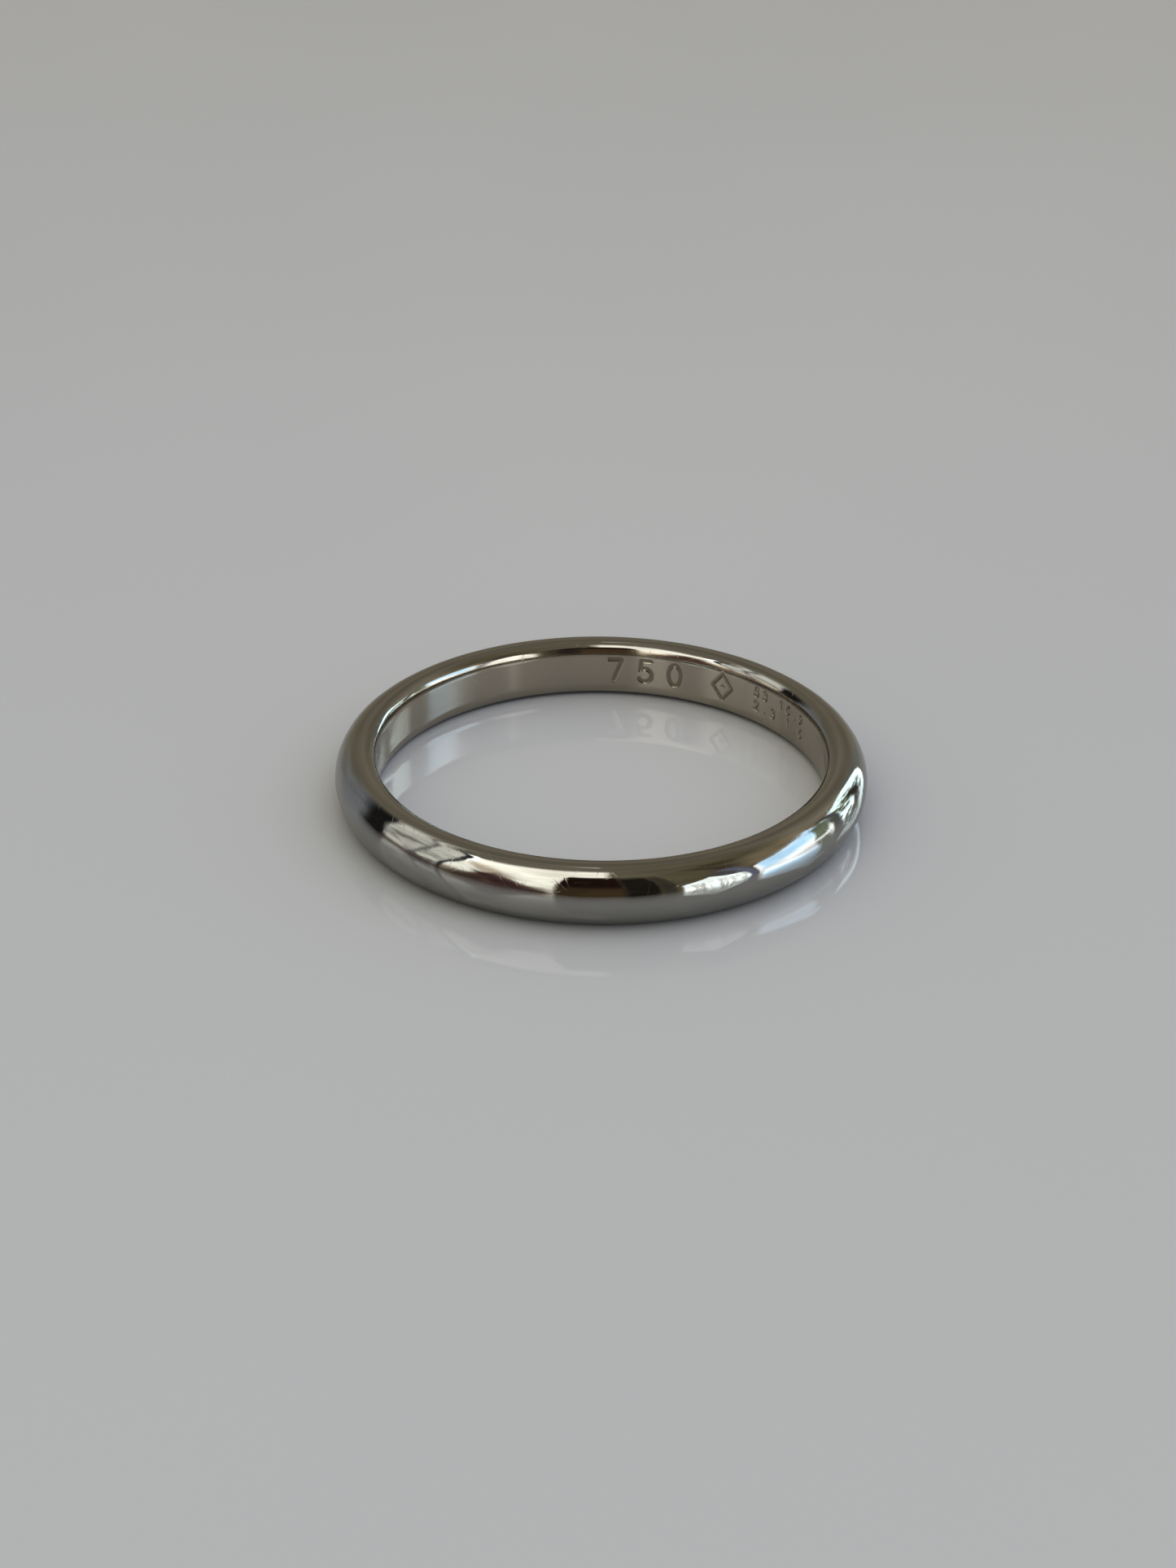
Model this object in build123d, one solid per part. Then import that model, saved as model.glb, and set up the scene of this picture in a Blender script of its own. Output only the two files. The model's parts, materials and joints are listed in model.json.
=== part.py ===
from build123d import *
import os
from math import cos, pi, radians, sin

# Wedding band in white gold, lying flat: +Z is the ring's axis and z = 0 is the surface it lies on.
# All lengths are in millimetres.

# Driving dimensions
INNER_CIRCUMFERENCE = 53.0  # the ring size: the length round the finger hole
WALL = 1.57  # from the finger hole to the crown of the dome
WIDTH = 2.3  # along the finger, so the height when the band lies flat
RIM_FLAT = 0.06  # the ring of metal on each side that the band lies on

# From the finger hole's straight wall to each rim the surface turns through three arcs that run
# on from one another: the wall eases back, turns quickly at a worn edge, then rolls slowly over
# the rim. Each arc has its radius and the tilt, in degrees from the wall, that it ends at.
EASE_RADIUS = 0.86
EASE_END = 25
EDGE_RADIUS = 0.19
EDGE_END = 52
ROLL_RADIUS = 0.70
ROLL_END = 90


def arc_chord(radius, start_tilt, end_tilt):
    """How far out and how far up an arc of this radius goes between two tilts of its surface."""
    start, end = radians(start_tilt), radians(end_tilt)
    return radius * (cos(start) - cos(end)), radius * (sin(end) - sin(start))


# Worked out from them
INNER_RADIUS = INNER_CIRCUMFERENCE / (2 * pi)
OUTER_RADIUS = INNER_RADIUS + WALL
EASE_OUT, EASE_UP = arc_chord(EASE_RADIUS, 0, EASE_END)
EDGE_OUT, EDGE_UP = arc_chord(EDGE_RADIUS, EASE_END, EDGE_END)
ROLL_OUT, ROLL_UP = arc_chord(ROLL_RADIUS, EDGE_END, ROLL_END)
WALL_END = EASE_UP + EDGE_UP + ROLL_UP
FLAT_START = INNER_RADIUS + EASE_OUT + EDGE_OUT + ROLL_OUT
FLAT_END = FLAT_START + RIM_FLAT
DOME_DEPTH = OUTER_RADIUS - FLAT_END


def upper_edge_points():
    """Radius and height of the points where the wall, the three arcs and the rim meet."""
    wall_top = (INNER_RADIUS, WIDTH - WALL_END)
    ease_top = (INNER_RADIUS + EASE_OUT, WIDTH - ROLL_UP - EDGE_UP)
    edge_top = (FLAT_START - ROLL_OUT, WIDTH - ROLL_UP)
    return wall_top, ease_top, edge_top, (FLAT_START, WIDTH)


def half_round_section():
    """The band's section beside its axis: a straight bore, eased edges, flat rims, domed outside."""
    upper = upper_edge_points()
    lower = [(radius, WIDTH - height) for radius, height in reversed(upper)]
    radii = (EASE_RADIUS, EDGE_RADIUS, ROLL_RADIUS)
    upper_arcs = [RadiusArc(*ends, radius) for *ends, radius in zip(upper, upper[1:], radii)]
    lower_arcs = [RadiusArc(*ends, radius) for *ends, radius in zip(lower, lower[1:], reversed(radii))]
    bore_line = Line(lower[-1], upper[0])
    upper_rim = Line(upper[-1], (FLAT_END, WIDTH))
    dome = EllipticalCenterArc(
        center=(FLAT_END, WIDTH / 2),
        x_radius=DOME_DEPTH,
        y_radius=WIDTH / 2,
        start_angle=-90,
        arc_size=180,
    )
    lower_rim = Line((FLAT_END, 0), lower[0])
    outline = Curve() + [bore_line, *upper_arcs, upper_rim, dome, lower_rim, *lower_arcs]
    return make_face(Plane.XZ * outline)


def make_band():
    """The whole ring: the section carried once round the ring's axis."""
    return revolve(half_round_section(), axis=Axis.Z, revolution_arc=360)


os.makedirs("parts", exist_ok=True)

band = make_band()
band.label = "band"
export_step(band, "parts/band.step")

print(f"inner diameter {2 * INNER_RADIUS:.3f} mm, outer diameter {2 * OUTER_RADIUS:.3f} mm")
print(f"straight wall {WIDTH - 2 * WALL_END:.3f} mm, rim from radius {FLAT_START:.4f} to {FLAT_END:.4f} mm")
print(f"volume {band.volume:.2f} cubic mm, valid {band.is_valid}")
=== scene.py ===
# %% [markdown]
# # A half-round wedding band
# This file dresses a single piece: a slim ring of polished white gold, lying flat on a pale
# glossy table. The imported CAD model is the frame. It says how large the ring is, where it lies
# and which body it rides on. Everything here is in metres, with +Z along the ring's axis.

# %% load the frame
import json
import math

import bpy
import numpy as np
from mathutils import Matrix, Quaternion, Vector


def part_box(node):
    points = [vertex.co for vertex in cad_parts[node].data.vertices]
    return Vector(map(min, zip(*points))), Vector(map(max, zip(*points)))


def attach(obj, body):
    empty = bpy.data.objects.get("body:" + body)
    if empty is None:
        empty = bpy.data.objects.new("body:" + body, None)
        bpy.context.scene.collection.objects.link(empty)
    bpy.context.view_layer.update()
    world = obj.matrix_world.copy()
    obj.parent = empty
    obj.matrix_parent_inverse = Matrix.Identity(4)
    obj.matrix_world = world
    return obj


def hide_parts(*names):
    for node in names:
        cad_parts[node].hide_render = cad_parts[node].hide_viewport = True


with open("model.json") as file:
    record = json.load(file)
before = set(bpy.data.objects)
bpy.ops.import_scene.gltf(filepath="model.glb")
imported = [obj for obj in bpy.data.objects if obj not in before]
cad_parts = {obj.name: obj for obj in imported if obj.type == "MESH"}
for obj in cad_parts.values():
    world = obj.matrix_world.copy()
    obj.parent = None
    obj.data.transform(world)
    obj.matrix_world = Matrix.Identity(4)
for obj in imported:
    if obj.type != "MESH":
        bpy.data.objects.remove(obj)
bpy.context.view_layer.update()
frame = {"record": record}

# %% [markdown]
# ## Sizes
# A mirror finish shows every facet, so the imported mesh, which is cut into flats of a hundredth
# of a millimetre, can't be shown as it is. The ring is made again as a fine smooth surface on
# exactly the same section. Its sizes are read from the frame: the bore and its straight length
# from the mount that takes the finger, the flat of the rim from the mount that it rests on, the
# rest from its box. Only the three arcs of the worn edge are repeated here, each with its radius
# and the tilts of the surface that it runs between. The print says whether they still fill the
# height that the frame leaves for them.

# %% the band's sizes, from the frame
MM = 0.001
mounts = {mount["name"]: mount for mount in frame["record"]["mounts"]}
bore_sizes = mounts["finger_bore"]["dims"]
band_low, band_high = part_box("band")

BORE_RADIUS = bore_sizes["r_mm"] * MM
STRAIGHT_HALF = bore_sizes["length_mm"] * MM / 2
WIDTH = band_high.z - band_low.z
MID_HEIGHT = WIDTH / 2
CROWN_RADIUS = max(band_high.x, band_high.y)

EASE_RADIUS, EASE_END = 0.86 * MM, math.radians(25)
EDGE_RADIUS, EDGE_END = 0.19 * MM, math.radians(52)
ROLL_RADIUS, ROLL_END = 0.70 * MM, math.radians(90)
EDGE_ARCS = (
    (EASE_RADIUS, 0, EASE_END),
    (EDGE_RADIUS, EASE_END, EDGE_END),
    (ROLL_RADIUS, EDGE_END, ROLL_END),
)

edge_out = sum(radius * (math.cos(start) - math.cos(end)) for radius, start, end in EDGE_ARCS)
edge_up = sum(radius * (math.sin(end) - math.sin(start)) for radius, start, end in EDGE_ARCS)
FLAT_START = BORE_RADIUS + edge_out
FLAT_END = 2 * mounts["rest_face"]["pos_m"][0] - FLAT_START
DOME_DEPTH = CROWN_RADIUS - FLAT_END
print(f"bore {2 * BORE_RADIUS / MM:.2f} mm across, width {WIDTH / MM:.2f} mm")
print(f"edge arcs rise {edge_up / MM:.4f} mm of {(MID_HEIGHT - STRAIGHT_HALF) / MM:.4f} mm")

# %% [markdown]
# ## The camera
# A close view from in front, looking down at about 29 degrees from 100 mm away. Perspective is
# strong at that distance, so the distance matters as much as the lens. The aim is a little to
# the left of and above the ring's centre, which frames the ring as a hand-held camera does,
# and the camera is turned by half a degree about its own line of sight.

# %% make the camera
CAMERA_DISTANCE = 100 * MM
CAMERA_ELEVATION = math.radians(28.88)
CAMERA_ROLL = math.radians(0.45)
LENS_MM = 60.45
SENSOR_MM = 36
AIM_LEFT = 0.49 * MM
AIM_ABOVE = 0.44 * MM


def make_camera():
    """A camera on a circle round the origin, turned towards a point just beside the origin."""
    data = bpy.data.cameras.new("close_view")
    data.lens = LENS_MM
    data.sensor_width = SENSOR_MM
    data.clip_start = 5 * MM
    data.clip_end = 20
    camera = bpy.data.objects.new("close_view", data)
    bpy.context.scene.collection.objects.link(camera)
    back = Vector((0, -math.cos(CAMERA_ELEVATION), math.sin(CAMERA_ELEVATION)))
    camera.location = back * CAMERA_DISTANCE
    upright = (-back).to_track_quat("-Z", "Y")
    aim = upright @ Vector((-AIM_LEFT, AIM_ABOVE, 0))
    look = (aim - camera.location).to_track_quat("-Z", "Y")
    camera.rotation_mode = "QUATERNION"
    camera.rotation_quaternion = look @ Quaternion((0, 0, 1), CAMERA_ROLL)
    bpy.context.scene.camera = camera
    return camera


camera = make_camera()
print("camera at", [round(x, 4) for x in camera.location])

# %% [markdown]
# ## The section of the band
# Cut through the metal at one place and the outline is a letter D lying on its side: a straight
# wall against the finger that eases back, turns at a worn edge and rolls over each rim, a narrow
# flat, and half an ellipse outside. A curve modifier could carry such an outline round, but then
# nothing could be struck into the wall. Here the outline is a row of points, closely spaced
# where the marks will be, and wider apart elsewhere.

# %% the outline as points
STRIP_LOW, STRIP_HIGH = -0.60 * MM, 0.72 * MM
STRIP_STEP = 0.022 * MM
MARGIN_ROWS = 4
EDGE_ROWS = 7
ROLL_ROWS = 10
DOME_ROWS = 42


def ellipse_arc(centre, radii, start, end, count):
    """Each point is the centre plus the two radii times the cosine and sine of its angle."""
    angle = np.linspace(start, end, count)
    return np.array(centre) + np.array(radii) * np.stack([np.cos(angle), np.sin(angle)], 1)


def wall_points():
    """Straight up the middle; past its ends the radius grows by R less the root of R squared
    less the square of how far past. Rows are fine in the marked strip and wide outside it."""
    reach = STRAIGHT_HALF + EASE_RADIUS * math.sin(EASE_END)
    rows = round((STRIP_HIGH - STRIP_LOW) / STRIP_STEP) + 1
    offset = np.concatenate([
        np.linspace(-reach, STRIP_LOW, MARGIN_ROWS)[:-1],
        np.linspace(STRIP_LOW, STRIP_HIGH, rows),
        np.linspace(STRIP_HIGH, reach, MARGIN_ROWS)[1:],
    ])
    past = np.maximum(np.abs(offset) - STRAIGHT_HALF, 0)
    radius = BORE_RADIUS + EASE_RADIUS - np.sqrt(EASE_RADIUS ** 2 - past ** 2)
    return np.stack([radius, MID_HEIGHT + offset], 1)


def tilt_arc(start_point, radius, start, end, count):
    """From the start point, the radius times the change in the surface's outward direction."""
    tilt = np.linspace(start, end, count)
    facing = np.stack([-np.cos(tilt), np.sin(tilt)], 1)
    return (np.array(start_point) + radius * (facing - facing[0]))[1:]


def band_outline():
    """Radius and height of each point: up the wall, over the rim, down the dome and back."""
    wall = wall_points()
    edge = tilt_arc(wall[-1], *EDGE_ARCS[1], EDGE_ROWS)
    roll = tilt_arc(edge[-1], *EDGE_ARCS[2], ROLL_ROWS)
    upper = np.concatenate([edge, roll])
    lower = upper[::-1] * (1, -1) + (0, WIDTH)
    dome_radii = (DOME_DEPTH, WIDTH / 2)
    dome = ellipse_arc((FLAT_END, MID_HEIGHT), dome_radii, math.pi / 2, -math.pi / 2, DOME_ROWS)
    return np.concatenate([wall, upper, dome, lower]), len(wall)


outline, wall_rows = band_outline()
print(len(outline), "points in the outline,", wall_rows, "of them on the bore's wall")

# %% [markdown]
# ## The marks in the bore
# A goldsmith strikes small steel punches into the bore: a fineness number, a punch mark and the
# ring's size. Here they are 750, the parts of gold in a thousand, a plain lozenge with a dot,
# and two short rows of numbers: the length round the bore and its width across, then the band's
# width and thickness, all in millimetres. Each figure is a few strokes on a unit square, as a
# draughtsman's template has them, because a punch leaves a line of even width with rounded
# ends. A font would need a curve, a mesh and a cut, and would leave ragged edges on a mirror.

# %% strokes of the figures


def stroke_arc(centre, radii, start, end, count=14):
    """Points along part of an ellipse, with its angles given in degrees."""
    return ellipse_arc(centre, radii, math.radians(start), math.radians(end), count)


FIGURES = {
    "0": [stroke_arc((0.30, 0.50), (0.28, 0.50), 0, 360, 26)],
    "1": [[(0.12, 0.80), (0.34, 1.00), (0.34, 0.00)]],
    "2": [np.concatenate([
        stroke_arc((0.30, 0.72), (0.28, 0.28), 165, -35),
        [(0.02, 0), (0.6, 0)],
    ])],
    "3": [
        stroke_arc((0.28, 0.76), (0.25, 0.24), 150, -90),
        stroke_arc((0.28, 0.26), (0.29, 0.26), 90, -150),
    ],
    "5": [
        [(0.55, 1.00), (0.12, 1.00), (0.08, 0.56)],
        stroke_arc((0.28, 0.32), (0.31, 0.32), 130, -145),
    ],
    "6": [
        stroke_arc((0.30, 0.30), (0.28, 0.30), 0, 360, 22),
        stroke_arc((0.68, 0.30), (0.66, 0.70), 98, 180),
    ],
    "7": [[(0.02, 1.00), (0.60, 1.00), (0.22, 0.00)]],
    "9": [
        stroke_arc((0.30, 0.70), (0.28, 0.30), 0, 360, 22),
        stroke_arc((-0.08, 0.70), (0.66, 0.70), -82, 0),
    ],
    ".": [[(0.28, 0.00), (0.30, 0.00)]],
    " ": [],
}
FIGURE_WIDTH = 0.60


def lozenge_strokes():
    """A square standing on one corner, a little narrower than it is tall, and a dot inside."""
    ring = [(0.40, 1.00), (0.80, 0.50), (0.40, 0.00), (0.00, 0.50), (0.40, 1.00)]
    return [ring, [(0.39, 0.50), (0.41, 0.50)]]


print(len(FIGURES) - 1, "figures drawn by strokes")

# %% [markdown]
# A mark's place is an angle round the ring and a height above the middle of the wall. The
# reader looks from inside the ring, so left to right runs against the angle. The marks follow
# one another on the far side of the bore, where the camera looks straight at the wall.

# %% place the marks on the unrolled wall
FINENESS = {
    "text": "750", "first_angle": 86.4, "step": 8.35,
    "height": 0.92 * MM, "middle": 0.06 * MM, "half_width": 0.070 * MM,
}
SIZE_ROW = {"first_angle": 43.5, "step": 3.25, "height": 0.36 * MM, "half_width": 0.038 * MM}
RING_SIZE = f"{2 * math.pi * BORE_RADIUS / MM:.0f} {2 * BORE_RADIUS / MM:.1f}"
BAND_SIZE = f"{WIDTH / MM:.1f} {(CROWN_RADIUS - BORE_RADIUS) / MM:.1f}"
SIZE_ROWS = (
    {**SIZE_ROW, "text": RING_SIZE, "middle": 0.40 * MM},
    {**SIZE_ROW, "text": BAND_SIZE, "middle": -0.19 * MM},
)
LOZENGE_WIDTH = 0.80
LOZENGE = {"angle": 55.2, "height": 1.12 * MM, "middle": 0.08 * MM, "half_width": 0.055 * MM}


def placed(strokes, angle, height, middle, width_share):
    """Unit strokes turned into lengths along and across the wall, centred at their angle."""
    start = -math.radians(angle) * BORE_RADIUS - width_share * height / 2
    shift = np.array([start, MID_HEIGHT + middle - height / 2])
    return [np.array(stroke) * height + shift for stroke in strokes]


def row_of_figures(row):
    """The strokes of a row of figures, each one step further round the wall than the last."""
    strokes = []
    for place, figure in enumerate(row["text"]):
        angle = row["first_angle"] - place * row["step"]
        strokes += placed(FIGURES[figure], angle, row["height"], row["middle"], FIGURE_WIDTH)
    return strokes


mark_groups = [(row_of_figures(row), row["half_width"]) for row in (FINENESS, *SIZE_ROWS)]
lozenge = placed(
    lozenge_strokes(), LOZENGE["angle"], LOZENGE["height"], LOZENGE["middle"], LOZENGE_WIDTH,
)
mark_groups.append((lozenge, LOZENGE["half_width"]))
print(sum(len(strokes) for strokes, _ in mark_groups), "strokes for", RING_SIZE, "and", BAND_SIZE)

# %% [markdown]
# To strike the marks, each point of the wall is asked how far it is from the nearest stroke.
# Inside half a stroke's width the wall is pushed back by the punch's depth, and it slopes up to
# the surface over a narrow edge. The same number, from 0 on the wall to 1 on the floor of a
# mark, is kept as an attribute, so that the material can be duller there.

# %% distance from the strokes
PUNCH_DEPTH = 0.034 * MM
PUNCH_EDGE = 0.070 * MM


def smooth_step(value):
    """0 below 0 and 1 above 1, joined by three times the square less twice the cube."""
    held = np.clip(value, 0, 1)
    return held * held * (3 - 2 * held)


def distance_to_line(points, line):
    """The least distance from each point to any straight run of the line."""
    start, run = line[:-1], np.diff(line, axis=0)
    offset = points[:, None, :] - start[None]
    length_squared = np.maximum((run ** 2).sum(1), 1e-18)
    share = np.clip((offset * run[None]).sum(2) / length_squared, 0, 1)
    gap = offset - share[..., None] * run[None]
    return np.sqrt((gap ** 2).sum(2)).min(1)


def punch_share(points):
    """How deep each point of the unrolled wall is struck, from 0 to 1."""
    share = np.zeros(len(points))
    for strokes, half_width in mark_groups:
        for stroke in strokes:
            near = half_width + PUNCH_EDGE
            low, high = stroke.min(0) - near, stroke.max(0) + near
            inside = ((points > low) & (points < high)).all(1)
            if inside.any():
                distance = distance_to_line(points[inside], stroke)
                struck = smooth_step((half_width + PUNCH_EDGE / 2 - distance) / PUNCH_EDGE)
                share[inside] = np.maximum(share[inside], struck)
    return share


print(f"punched {PUNCH_DEPTH / MM:.3f} mm deep")

# %% [markdown]
# ## The band's surface
# The surface is a grid: one way along the outline, the other way round the ring. Columns stand
# close together over the marked arc and further apart over the rest. A worn hand-polished ring
# is never a perfect surface of revolution, so the dome rises and falls by a few thousandths of a
# millimetre. Nobody would see that as shape, but in a mirror finish it bends the edge of every
# reflection a little, and that is what makes polished metal look real.

# %% columns round the ring
MARKED_ARC = (20.0, 91.0)
COLUMN_GAP = 0.0255 * MM
FINE_STEP = math.degrees(COLUMN_GAP / BORE_RADIUS)
WIDE_STEP = 1.3


def column_angles():
    """Angles once round the ring: fine steps over the marked arc, then wide steps back to it."""
    first, last = MARKED_ARC
    fine = np.linspace(first, last, round((last - first) / FINE_STEP) + 1)
    wide_count = round((360 - (last - first)) / WIDE_STEP)
    wide = np.linspace(last, first + 360, wide_count + 1)[1:-1]
    return np.radians(np.concatenate([fine, wide]))


columns = column_angles()
print(len(columns), "columns round the ring")

# %% the swell of a hand-polished dome
SWELL_HEIGHT = 0.0020 * MM
SWELL_WAVES = ((5, 1, 1.3), (11, 2, 0.4), (17, 1, 4.1), (23, 3, 2.2), (37, 2, 5.3))


def hand_swell(angle, along):
    """A sum of waves: each one's angle times its count round the ring, plus its count across."""
    waves = [np.sin(n * angle + m * along + start) for n, m, start in SWELL_WAVES]
    return SWELL_HEIGHT * sum(waves)


def band_surface():
    """Positions on the grid of columns by outline points, and the struck share of each."""
    angle = columns[:, None]
    radius = np.repeat(outline[None, :, 0], len(columns), 0)
    height = np.repeat(outline[None, :, 1], len(columns), 0)
    struck = np.zeros_like(radius)
    flat = np.stack(np.broadcast_arrays(-angle * BORE_RADIUS, height[:, :wall_rows]), -1)
    struck[:, :wall_rows] = punch_share(flat.reshape(-1, 2)).reshape(len(columns), wall_rows)
    radius = radius + PUNCH_DEPTH * struck
    on_dome = np.clip((radius - FLAT_END) / DOME_DEPTH, 0, 1)
    across = (height - MID_HEIGHT) / WIDTH * math.pi
    radius = radius + smooth_step(on_dome * 2) * hand_swell(angle, across)
    places = np.stack([radius * np.cos(angle), radius * np.sin(angle), height], -1)
    return places, struck


surface, struck = band_surface()
print("surface grid", surface.shape[:2], "deepest mark", round(float(struck.max()), 3))

# %% [markdown]
# The grid becomes a mesh in one go: every cell is a four-sided face, and the last column and
# the last outline point join up with the first, so the skin is closed with no seam to weld. The
# UV map is the unrolled skin in millimetres, so a scratch has the same size wherever it lies.

# %% grid to mesh
def grid_faces(columns_count, rows_count):
    """Corner numbers of each cell, in the order that turns every face out of the metal."""
    i, j = np.meshgrid(np.arange(columns_count), np.arange(rows_count), indexing="ij")
    corners = [(i, j), (i, j + 1), (i + 1, j + 1), (i + 1, j)]
    return np.stack([np.stack(c, -1) for c in corners], 2).reshape(-1, 4, 2)


def unrolled_lengths():
    """How far each column is round the ring, and each outline point along the outline, in mm."""
    round_ring = np.append(columns, columns[0] + 2 * math.pi) * CROWN_RADIUS / MM
    steps = np.linalg.norm(np.diff(np.vstack([outline, outline[:1]]), axis=0), axis=1)
    return round_ring, np.concatenate([[0], np.cumsum(steps)]) / MM


def make_band_mesh():
    """The closed skin of the band, with its UV map and the attributes that its finish reads."""
    count, rows = surface.shape[:2]
    cells = grid_faces(count, rows)
    corners = (cells[..., 0] % count) * rows + cells[..., 1] % rows
    mesh = bpy.data.meshes.new("band_metal")
    mesh.vertices.add(count * rows)
    mesh.vertices.foreach_set("co", surface.ravel())
    mesh.loops.add(corners.size)
    mesh.loops.foreach_set("vertex_index", corners.ravel())
    mesh.polygons.add(len(corners))
    mesh.polygons.foreach_set("loop_start", np.arange(0, corners.size, 4))
    mesh.polygons.foreach_set("use_smooth", np.ones(len(corners), bool))
    mesh.update(calc_edges=True)
    round_ring, along = unrolled_lengths()
    uv = np.stack([round_ring[cells[..., 0]], along[cells[..., 1]]], -1)
    mesh.uv_layers.new(name="unrolled_mm").data.foreach_set("uv", uv.ravel())
    bore = np.zeros((count, rows))
    bore[:, :wall_rows] = 1
    for name, values in (("struck", struck), ("bore_wall", bore)):
        attribute = mesh.attributes.new(name, "FLOAT", "POINT")
        attribute.data.foreach_set("value", values.ravel())
    mesh.validate()
    return mesh


band = bpy.data.objects.new("white_gold_band", make_band_mesh())
bpy.context.scene.collection.objects.link(band)
print(len(band.data.polygons), "faces in the band")

# %% [markdown]
# ## Node helpers
# A finish is a small graph. These helpers keep each step of it to one line: one adds a node and
# sets its values, three more do a sum, blend two colours and carry a value from one range to
# another, and the last two start a node group with named sockets and place it.

# %% node helpers
def add_node(tree, kind, inputs=None, **settings):
    """A node of that kind, with its settings, and its inputs either set or linked."""
    node = tree.nodes.new(kind)
    for name, value in settings.items():
        setattr(node, name, value)
    for name, value in (inputs or {}).items():
        if isinstance(value, bpy.types.NodeSocket):
            tree.links.new(value, node.inputs[name])
        else:
            node.inputs[name].default_value = value
    return node


def maths(tree, operation, *values):
    """The result of a Math node on one, two or three numbers or sockets."""
    return add_node(tree, "ShaderNodeMath", dict(enumerate(values)), operation=operation).outputs[0]


def blend_colours(tree, share, first, second):
    """The first colour where the share is 0 and the second where it is 1."""
    node = add_node(tree, "ShaderNodeMix", {0: share, 6: first, 7: second}, data_type="RGBA")
    return node.outputs[2]


def ramp(tree, value, low, high, out_low=0.0, out_high=1.0, smooth=False):
    """The value carried from one range to another, and held at the ends."""
    inputs = {
        "Value": value, "From Min": low, "From Max": high, "To Min": out_low, "To Max": out_high,
    }
    kind = "SMOOTHSTEP" if smooth else "LINEAR"
    return add_node(tree, "ShaderNodeMapRange", inputs, interpolation_type=kind).outputs[0]


def new_group(name, inputs, outputs):
    """A shader node group with named sockets, and its input and output nodes."""
    tree = bpy.data.node_groups.new(name, "ShaderNodeTree")
    for socket, kind, value in inputs:
        made = tree.interface.new_socket(socket, in_out="INPUT", socket_type=kind)
        if value is not None:
            made.default_value = value
    for socket, kind in outputs:
        tree.interface.new_socket(socket, in_out="OUTPUT", socket_type=kind)
    return tree, tree.nodes.new("NodeGroupInput"), tree.nodes.new("NodeGroupOutput")


def use_group(tree, group, inputs):
    """A node that places the group in a tree."""
    return add_node(tree, "ShaderNodeGroup", inputs, node_tree=group)


print("node helpers ready")

# %% [markdown]
# ## Hairline scratches
# Gold is soft. Even a well-kept band carries hairlines: straight, fine, a few millimetres long,
# in every direction. The walls between the cells of a Voronoi pattern are straight and thin, so
# a narrow band of the distance to them makes hairlines, and stretching the pattern before
# it is sampled makes them long. A soft noise then rubs most of each line out again, which
# leaves separate strokes and not a net.

# %% the scratch group
CELLS_PER_MM = 1.6
RUBBED_PER_MM = 1.3
RUBBED_EDGE = 0.12


def make_scratch_group():
    """Hairlines: cell walls of a stretched Voronoi, kept only where a noise is high."""
    inputs = [
        ("Vector", "NodeSocketVector", None),
        ("Turn", "NodeSocketFloat", 0.0),
        ("Length", "NodeSocketFloat", 6.0),
        ("Fineness", "NodeSocketFloat", 0.02),
        ("Cover", "NodeSocketFloat", 0.5),
    ]
    tree, enter, leave = new_group("hairline_scratches", inputs, [("Mask", "NodeSocketFloat")])
    given = enter.outputs
    turned = add_node(
        tree, "ShaderNodeVectorRotate", {"Vector": given["Vector"], "Angle": given["Turn"]},
        rotation_type="Z_AXIS",
    ).outputs[0]
    stretch = add_node(
        tree, "ShaderNodeCombineXYZ",
        {"X": maths(tree, "DIVIDE", 1.0, given["Length"]), "Y": CELLS_PER_MM, "Z": 1.0},
    ).outputs[0]
    long_cells = add_node(
        tree, "ShaderNodeVectorMath", {0: turned, 1: stretch}, operation="MULTIPLY"
    ).outputs[0]
    cells = add_node(
        tree, "ShaderNodeTexVoronoi", {"Vector": long_cells, "Scale": 1.0},
        feature="DISTANCE_TO_EDGE", voronoi_dimensions="2D",
    ).outputs["Distance"]
    line = ramp(tree, cells, 0.0, given["Fineness"], 1.0, 0.0, smooth=True)
    cloud = add_node(
        tree, "ShaderNodeTexNoise", {"Vector": turned, "Scale": RUBBED_PER_MM, "Detail": 2.0},
        noise_dimensions="2D",
    ).outputs[0]
    threshold = maths(tree, "SUBTRACT", 1.0, given["Cover"])
    kept = ramp(tree, cloud, threshold, maths(tree, "ADD", threshold, RUBBED_EDGE), smooth=True)
    tree.links.new(maths(tree, "MULTIPLY", line, kept), leave.inputs["Mask"])
    return tree


scratch_group = make_scratch_group()
print("scratch group has", len(scratch_group.nodes), "nodes")
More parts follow.
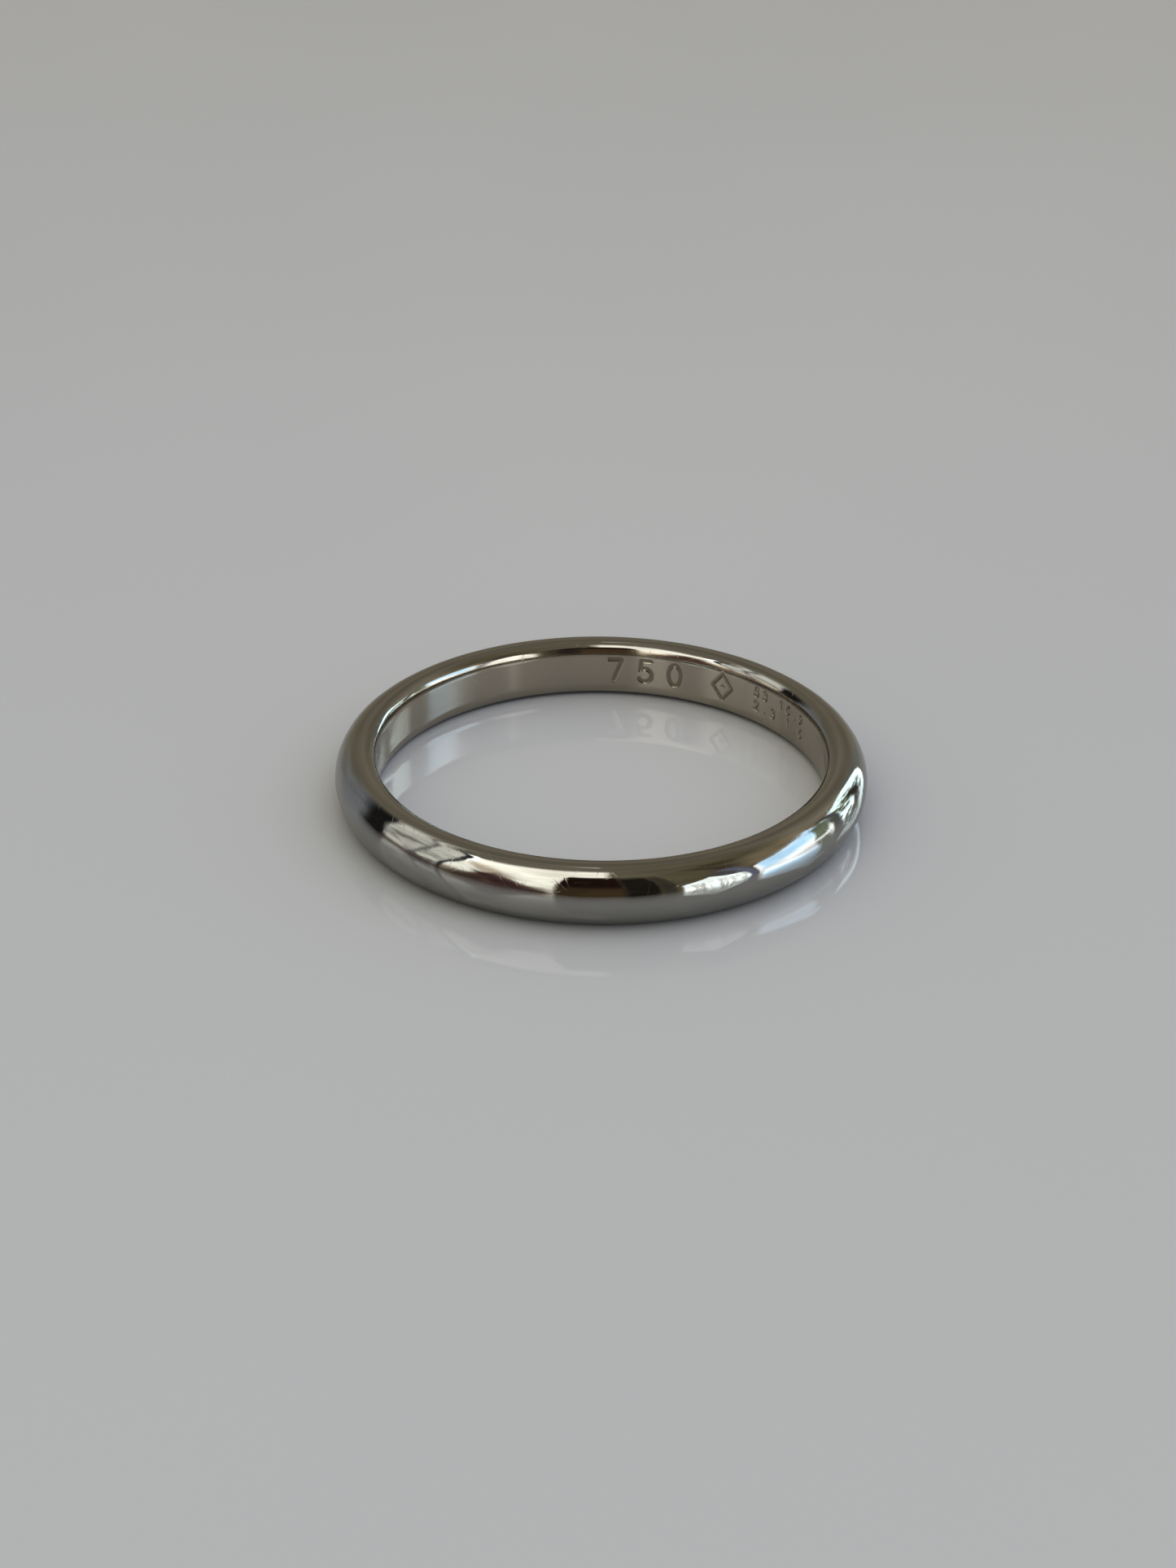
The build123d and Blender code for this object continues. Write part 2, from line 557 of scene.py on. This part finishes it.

# %% [markdown]
# ## Polished white gold
# White gold is a little warmer and darker than steel or silver. The dome is buffed to a mirror.
# The bore is only tumbled, so it is softer, and its warmer, lighter colour is a painted
# reflection of the warm light that it mirrors. The floor of each struck mark holds a film of
# polishing compound that never comes out. The metal is one Principled shader: the struck mask,
# the bore mask and the scratches change its colour, its roughness and its normal. A waver of the
# normal about half a millimetre long bends the thinnest reflections, as buffing by hand does.

# %% the metal
WHITE_GOLD = (0.475, 0.473, 0.450, 1.0)
WORN_WHITE_GOLD = (0.445, 0.442, 0.415, 1.0)
MARK_FILM = (0.34, 0.31, 0.25, 1.0)
# The bore's colour below is a painted warm reflection, laid over the same white gold.
BORE_GOLD_PAINTED_WARM_REFLECTION = (0.54, 0.495, 0.42, 1.0)
DOME_ROUGHNESS = 0.030
BORE_ROUGHNESS = 0.13
WORN_HAZE = 0.02
SCRATCH_HAZE = 0.10
STRUCK_HAZE = 0.25
WEAR_PER_METRE = 420.0
WAVER_PER_METRE = 1900.0
WAVER_HEIGHT = 0.0022 * MM
SCRATCH_DEPTH = 0.002 * MM
SCRATCH_LAYERS = (
    {"Turn": 0.3, "Length": 9.0, "Fineness": 0.020, "Cover": 0.50},
    {"Turn": 1.25, "Length": 7.0, "Fineness": 0.016, "Cover": 0.46},
    {"Turn": 2.3, "Length": 11.0, "Fineness": 0.018, "Cover": 0.48},
)


def scratches(tree, vector):
    """The strongest of a few layers of hairlines, each turned another way."""
    strongest = 0.0
    for layer in SCRATCH_LAYERS:
        lines = use_group(tree, scratch_group, {"Vector": vector, **layer})
        strongest = maths(tree, "MAXIMUM", lines.outputs["Mask"], strongest)
    return strongest


def make_white_gold():
    """The metal's material."""
    material = bpy.data.materials.new("polished_white_gold")
    material.use_nodes = True
    tree = material.node_tree
    shader = tree.nodes["Principled BSDF"]
    shader.inputs["Metallic"].default_value = 1.0
    skin = add_node(tree, "ShaderNodeUVMap", uv_map="unrolled_mm").outputs["UV"]
    place = add_node(tree, "ShaderNodeTexCoord").outputs["Object"]
    struck_here = add_node(tree, "ShaderNodeAttribute", attribute_name="struck").outputs["Fac"]
    bore_here = add_node(tree, "ShaderNodeAttribute", attribute_name="bore_wall").outputs["Fac"]
    values = {"Vector": place, "Scale": WEAR_PER_METRE, "Detail": 4.0}
    wear = add_node(tree, "ShaderNodeTexNoise", values).outputs[0]
    worn = ramp(tree, wear, 0.40, 0.66)
    metal = blend_colours(tree, worn, WHITE_GOLD, WORN_WHITE_GOLD)
    # On the bore the colour turns warmer and lighter: a painted reflection of the warm light the wall
    # mirrors.
    metal = blend_colours(tree, bore_here, metal, BORE_GOLD_PAINTED_WARM_REFLECTION)
    tree.links.new(blend_colours(tree, struck_here, metal, MARK_FILM), shader.inputs["Base Color"])
    lines = scratches(tree, skin)
    polish = ramp(tree, bore_here, 0, 1, DOME_ROUGHNESS, BORE_ROUGHNESS)
    hazed = maths(tree, "MULTIPLY_ADD", worn, WORN_HAZE, polish)
    lined = maths(tree, "MULTIPLY_ADD", lines, SCRATCH_HAZE, hazed)
    rough = maths(tree, "MULTIPLY_ADD", struck_here, STRUCK_HAZE, lined)
    tree.links.new(rough, shader.inputs["Roughness"])
    values = {"Vector": place, "Scale": WAVER_PER_METRE, "Detail": 3.0}
    waver = add_node(tree, "ShaderNodeTexNoise", values).outputs[0]
    values = {"Height": waver, "Strength": 1.0, "Distance": WAVER_HEIGHT}
    wavered = add_node(tree, "ShaderNodeBump", values).outputs["Normal"]
    values = {"Height": lines, "Strength": 0.35, "Distance": SCRATCH_DEPTH, "Normal": wavered}
    scratched = add_node(tree, "ShaderNodeBump", values, invert=True).outputs["Normal"]
    tree.links.new(scratched, shader.inputs["Normal"])
    return material


band.data.materials.append(make_white_gold())
print("white gold on", band.name)

# %% [markdown]
# ## The table
# The floor is a plain pale table with a polished lacquer: a matt colour underneath and a weak
# clear gloss on top. At a low angle the gloss mirrors the ring and the lights, which is what
# seats the ring on it. Where the table is seen in the metal its colour is painted darker: a
# painted shade that stands for the ring's shadow on the table beside it, and gives the lower half
# of the dome its weight. The plane is far larger than the view.

# %% the table
TABLE_HALF = 3.0
TABLE_COLOUR = (0.610, 0.610, 0.605, 1.0)
# A darker copy of the table's colour, a painted shade, seen only where the table is mirrored.
TABLE_PAINTED_SHADE_IN_METAL = (0.50, 0.495, 0.485, 1.0)
TABLE_GLOSS = 0.30
TABLE_ROUGHNESS = 0.06


def make_table():
    """A square of four corners at the height of the ring's lowest point."""
    mesh = bpy.data.meshes.new("table_top")
    z = band_low.z
    corners = [(-1, -1), (1, -1), (1, 1), (-1, 1)]
    places = [(x * TABLE_HALF, y * TABLE_HALF, z) for x, y in corners]
    mesh.from_pydata(places, [], [(0, 1, 2, 3)])
    table = bpy.data.objects.new("table_top", mesh)
    bpy.context.scene.collection.objects.link(table)
    material = bpy.data.materials.new("pale_lacquer")
    material.use_nodes = True
    tree = material.node_tree
    shader = tree.nodes["Principled BSDF"]
    # Mirrored rays get the darker colour: painted shade for the ring's shadow on the table near it.
    mirrored_painted_shade = add_node(tree, "ShaderNodeLightPath").outputs["Is Glossy Ray"]
    seen = blend_colours(tree, mirrored_painted_shade, TABLE_COLOUR, TABLE_PAINTED_SHADE_IN_METAL)
    tree.links.new(seen, shader.inputs["Base Color"])
    shader.inputs["Specular IOR Level"].default_value = TABLE_GLOSS
    shader.inputs["Roughness"].default_value = TABLE_ROUGHNESS
    mesh.materials.append(material)
    return table


table = make_table()
print("table at z =", round(table.data.vertices[0].co.z, 6))

# %% [markdown]
# ## The studio
# A polished ring has hardly any look of its own: it shows what stands round it. Jewellery is
# therefore lit with large soft panels, and dark cards between them draw the form. Here they are
# all painted on the sky, each one a soft-edged patch at an azimuth and an elevation. Azimuth 0
# is the camera's side and 90 is the ring's right. A sky costs nothing to render, makes no noise
# and can't get in the camera's way when the ring is seen from another side.

# %% a soft panel on the sky
def vector_maths(tree, operation, *values):
    """The result of a Vector Math node: a length is a number, the rest are vectors."""
    node = add_node(tree, "ShaderNodeVectorMath", dict(enumerate(values)), operation=operation)
    return node.outputs["Value" if operation == "LENGTH" else "Vector"]


def skewed(tree, offset, one):
    """The offset with its sides leant, its top sloped and its top let fall to both sides."""
    axes = add_node(tree, "ShaderNodeSeparateXYZ", {"Vector": offset}).outputs
    across = maths(tree, "MULTIPLY_ADD", axes["Y"], -one["lean"], axes["X"])
    up = maths(tree, "MULTIPLY_ADD", across, -one["slope"], axes["Y"])
    up = maths(tree, "MULTIPLY_ADD", maths(tree, "ABSOLUTE", across), one["gable"], up)
    return add_node(tree, "ShaderNodeCombineXYZ", {"X": across, "Y": up}).outputs[0]


def panel_mask(tree, place, one):
    """1 inside a patch and 0 outside. How far a direction lies past each side is counted in
    widths of the soft edge, and the corners are rounded by so many of those widths."""
    offset = vector_maths(tree, "SUBTRACT", place, (*one["middle"], 0))
    if one["wrapped"]:
        offset = vector_maths(tree, "WRAP", offset, (180, 180, 1), (-180, -180, -1))
    if one["slope"] or one["lean"] or one["gable"]:
        offset = skewed(tree, offset, one)
    steepness = [1 / soft for soft in one["soft"]]
    start = [one["corner"] - half * steep for half, steep in zip(one["half"], steepness)]
    away = vector_maths(tree, "ABSOLUTE", offset)
    past = vector_maths(tree, "MULTIPLY_ADD", away, (*steepness, 0), (*start, 0))
    reach = vector_maths(tree, "LENGTH", vector_maths(tree, "MAXIMUM", past, (0, 0, 0)))
    return ramp(tree, reach, one["corner"] - 0.5, one["corner"] + 0.5, 1.0, 0.0, smooth=True)


print("panels can be hung")

# %% [markdown]
# The panels are listed in the order that they are hung, and each one covers those before it.
# Angles are in degrees, and a light is its red, green and blue. The ceiling light is laid out in
# plan instead, on a scale where the horizon is 90, so that its sides stay straight overhead.
# A pattern breaks up the panels that stand for leaves, for blinds and for the folds of a cloth.

# %% the panels
PLAIN_PANEL = {
    "soft": (3, 3), "corner": 0.5, "slope": 0, "lean": 0, "gable": 0, "plan": False, "pattern": None,
}


def panel(name, across, up, light, **shape):
    """A panel from its left and right sides, its bottom and top, and its light."""
    return {
        **PLAIN_PANEL, **shape, "name": name, "light": light,
        "middle": (sum(across) / 2, sum(up) / 2),
        "half": ((across[1] - across[0]) / 2, (up[1] - up[0]) / 2),
        "wrapped": across[1] > 180,
    }


PANELS = (
    # the room: a brown ceiling to the right, a pale glow behind, a bright strip overhead
    panel("glow_behind", (118, 186), (22, 52), (0.52, 0.47, 0.39), soft=(36, 26)),
    panel("glow_low", (150, 215), (-20, 22), (0.60, 0.58, 0.54), soft=(30, 30)),
    panel("beam", (60, 69), (34, 64), (0.17, 0.14, 0.10), soft=(6, 14)),
    panel("beam_high", (74, 92), (56, 67), (0.17, 0.14, 0.09), soft=(14, 8), slope=0.2),
    panel("over_windows", (68, 122), (26, 48), (0.50, 0.41, 0.28), soft=(20, 20), slope=0.15),
    panel("ceiling_light", (-120, 3), (-110, 2), (1.85, 1.79, 1.64), soft=(5, 18), plan=True),
    # the left: a bright wall, a soft box with a lit, dark rim, a dark frame round a grey return
    panel("warm_wall", (-100, -21), (-8, 67), (2.00, 1.97, 1.80), soft=(5, 6)),
    panel("rim_light", (-260, -65.4), (-40, 64.6), (3.4, 3.4, 3.4), soft=(1.4, 1.4), corner=24),
    panel("wall_beside", (-74, -21), (-8, 46), (2.00, 1.98, 1.84), soft=(5, 7)),
    panel("wall_low", (-75, -20), (-8, 14), (0.70, 0.60, 0.50), soft=(10, 12)),
    panel("crease", (-62, -46), (28, 52), (1.10, 0.96, 0.80), soft=(9, 12), lean=-1.0),
    panel("wedge", (-64, -20), (-34, 36), (0.28, 0.20, 0.165), soft=(11, 12), gable=1.6, lean=-0.15),
    panel("wedge_right", (-44, -32), (-12, 29), (0.13, 0.07, 0.07), soft=(8, 9), lean=-0.67),
    panel("wedge_left", (-56, -47), (-12, 20), (0.17, 0.11, 0.09), soft=(9, 10), lean=0.3),
    panel("box_rim", (-260, -67), (-40, 62.5), (0.06, 0.055, 0.07), soft=(2, 2), corner=17),
    panel("box_face", (-260, -69.5), (-40, 60), (1.25, 1.25, 1.18), soft=(2.5, 2.5), corner=14),
    panel("box_shade", (-84, -70), (18, 56), (0.72, 0.72, 0.66), soft=(7, 8), pattern="cloud"),
    panel("box_seam", (-260, -79.5), (-40, 55), (0.42, 0.41, 0.40), soft=(2.5, 2.5), corner=15),
    panel("box_inner", (-260, -81.5), (-40, 53), (1.10, 1.09, 1.02), soft=(2.5, 2.5), corner=15),
    panel("inner_shade", (-106, -90), (14, 42), (0.55, 0.54, 0.50), soft=(7, 7), pattern="cloud"),
    panel("box_foot", (-88, -70), (-12, 13), (0.33, 0.29, 0.29), soft=(7, 10), pattern="cloud"),
    panel("frame_rim", (-260, -96), (-40, 45), (0.035, 0.033, 0.033), soft=(3, 4), corner=14),
    panel("grey_return", (-260, -114), (-40, 36), (0.36, 0.375, 0.41), soft=(9, 8), corner=4),
    panel("behind_box", (-176, -110), (58, 68), (0.34, 0.31, 0.25), soft=(12, 6)),
    panel("back_wall", (146, 216), (-20, 64), (0.31, 0.28, 0.22), soft=(30, 22)),
    panel("low_strip", (-100, -20), (-30, 4), (0.15, 0.105, 0.09), soft=(6, 12)),
    # the front: a dark card with a darker slot beside it
    panel("dark_card", (-19, 12), (-30, 64), (0.13, 0.09, 0.05), soft=(3, 7)),
    panel("card_top", (-19, 10), (26, 62), (0.05, 0.024, 0.016), soft=(3, 12)),
    panel("slot", (11, 24), (-30, 60), (0.045, 0.038, 0.030), soft=(4, 16)),
    panel("slot_side", (24, 31), (-30, 58), (0.130, 0.115, 0.085), soft=(4, 16)),
    # the right: three windows with a bar and a post between them
    panel("bar_shade", (50, 62), (15, 36), (0.22, 0.20, 0.22), soft=(6, 9)),
    panel("window_one", (33.5, 63), (-40, 28), (2.10, 2.25, 2.32), soft=(1.6, 3), gable=1.1, slope=-0.2),
    panel("blinds", (36, 60), (-30, 14), (1.15, 1.16, 1.12), soft=(3, 8), pattern="streaks"),
    panel("window_two", (66, 110), (-40, 29), (2.10, 2.16, 2.22), soft=(2, 3), slope=0.36, corner=1),
    panel("sky_two", (69, 112), (10, 30), (1.20, 1.72, 2.25), soft=(5, 12), slope=0.36),
    panel("tree_two", (100, 111), (2, 30), (0.36, 0.41, 0.30), soft=(4, 7), lean=0.35),
    panel("window_three", (114, 144.5), (-40, 30), (2.00, 2.45, 2.60), soft=(2, 3), corner=1.5),
    panel("garden", (116, 137), (2, 26), (0.36, 0.37, 0.24), soft=(6, 8), lean=-0.3, pattern="leaves"),
    panel("branch", (131.5, 138), (-30, 16), (0.13, 0.11, 0.10), soft=(3, 4), lean=-0.22),
    panel("twig", (117, 121), (-8, 2), (0.10, 0.11, 0.12), soft=(3, 3), lean=-0.8),
    panel("bar", (61.5, 66.2), (-40, 40), (0.30, 0.32, 0.42), soft=(2, 2), lean=-0.13),
    panel("post", (109, 114.5), (-40, 34), (0.24, 0.25, 0.25), soft=(3, 3), lean=0.2),
    panel("window_frame", (145, 153), (-40, 32), (0.30, 0.30, 0.28), soft=(3, 3)),
)
CEILING_RIGHT = (0.27, 0.235, 0.16, 1.0)
CEILING_LEFT = (0.37, 0.34, 0.29, 1.0)


def sky_places(tree):
    """Each direction, where it lies on the sky in degrees, where it lies in plan on a scale
    of 90, and how far it points to the right and up."""
    direction = add_node(tree, "ShaderNodeTexCoord").outputs["Generated"]
    axes = add_node(tree, "ShaderNodeSeparateXYZ", {"Vector": direction}).outputs
    azimuth = maths(tree, "ARCTAN2", axes["X"], maths(tree, "MULTIPLY", axes["Y"], -1.0))
    degrees = {
        "X": maths(tree, "DEGREES", azimuth),
        "Y": maths(tree, "DEGREES", maths(tree, "ARCSINE", axes["Z"])),
    }
    on_sky = add_node(tree, "ShaderNodeCombineXYZ", degrees).outputs[0]
    in_plan = vector_maths(tree, "MULTIPLY", direction, (90, 90, 0))
    return direction, on_sky, in_plan, axes["X"], axes["Z"]


def sky_patterns(tree, direction, on_sky):
    """Noises that break a panel up: leaves, clouds and upright streaks, and a haze over all."""
    upright = vector_maths(tree, "MULTIPLY", on_sky, (0.45, 0.05, 0))
    sources = {
        "leaves": (direction, 13.0, 3.0, (0.40, 0.55, 0, 1)),
        "cloud": (direction, 5.0, 4.0, (0.40, 0.60, 0, 1)),
        "streaks": (upright, 1.0, 3.0, (0.45, 0.60, 0, 1)),
        "haze": (direction, 3.5, 5.0, (0.30, 0.70, 0.80, 1.16)),
    }
    patterns = {}
    for name, (vector, scale, detail, limits) in sources.items():
        values = {"Vector": vector, "Scale": scale, "Detail": detail}
        noise = add_node(tree, "ShaderNodeTexNoise", values).outputs[0]
        patterns[name] = ramp(tree, noise, *limits)
    return patterns


def panelled_sky(tree):
    """The light of every direction, with each panel laid over those before it."""
    direction, on_sky, in_plan, sideways, upward = sky_places(tree)
    patterns = sky_patterns(tree, direction, on_sky)
    light = blend_colours(tree, ramp(tree, sideways, -0.4, 0.4), CEILING_LEFT, CEILING_RIGHT)
    for one in PANELS:
        mask = panel_mask(tree, in_plan if one["plan"] else on_sky, one)
        if one["pattern"]:
            mask = maths(tree, "MULTIPLY", mask, patterns[one["pattern"]])
        light = blend_colours(tree, mask, light, (*one["light"], 1.0))
        light.node.label = one["name"]
    return vector_maths(tree, "MULTIPLY", light, patterns["haze"]), sideways, upward


print(len(PANELS), "panels in the studio")

# %% [markdown]
# Only what is mirrored needs the panels. The matt part of the table gathers light from the whole
# sky at once, so it is lit by a plain one, brighter overhead, warm on the left and cool on the
# windows' side. That keeps the table free of noise, and its colour shifts only beside the ring,
# which hides one side's light. A pane is far brighter than a picture can hold, which shows only
# once it has been dimmed by two mirrors, so there the cold light of the panes is raised. The
# view's gamma is below 1, which deepens the shadows.

# %% the studio's sky
SKY_LEFT = (0.85, 0.83, 0.73, 1.0)
SKY_RIGHT = (0.88, 0.92, 1.05, 1.0)
HORIZON_STRENGTH = 0.64
ZENITH_STRENGTH = 1.18
PANE_GLARE = 1.4
COLD = (0.15, 0.6)
VIEW_GAMMA = 0.80


def make_studio():
    """The panelled sky for mirrored rays and the plain one for all the others."""
    world = bpy.data.worlds.new("studio")
    world.use_nodes = True
    tree = world.node_tree
    light, sideways, upward = panelled_sky(tree)
    rays = add_node(tree, "ShaderNodeLightPath").outputs
    channels = add_node(tree, "ShaderNodeSeparateColor", {"Color": light}).outputs
    cold = ramp(tree, maths(tree, "SUBTRACT", channels["Blue"], channels["Red"]), *COLD)
    twice = maths(tree, "GREATER_THAN", rays["Glossy Depth"], 1.5)
    glare = maths(tree, "MULTIPLY", maths(tree, "MULTIPLY", cold, twice), PANE_GLARE)
    values = {"Color": light, "Strength": maths(tree, "ADD", glare, 1.0)}
    mirrored = add_node(tree, "ShaderNodeBackground", values)
    plain = tree.nodes["Background"]
    plain_light = blend_colours(tree, ramp(tree, sideways, -0.5, 0.5), SKY_LEFT, SKY_RIGHT)
    tree.links.new(plain_light, plain.inputs["Color"])
    strength = ramp(tree, upward, 0.0, 1.0, HORIZON_STRENGTH, ZENITH_STRENGTH)
    tree.links.new(strength, plain.inputs["Strength"])
    values = {0: rays["Is Glossy Ray"], 1: plain.outputs[0], 2: mirrored.outputs[0]}
    choice = add_node(tree, "ShaderNodeMixShader", values)
    tree.links.new(choice.outputs[0], tree.nodes["World Output"].inputs["Surface"])
    bpy.context.scene.world = world
    return world


studio = make_studio()
view = bpy.context.scene.view_settings
view.view_transform = "Standard"
view.gamma = VIEW_GAMMA
print("studio sky has", len(studio.node_tree.nodes), "nodes")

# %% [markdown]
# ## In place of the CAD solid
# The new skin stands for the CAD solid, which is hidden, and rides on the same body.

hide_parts("band")
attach(band, "root")
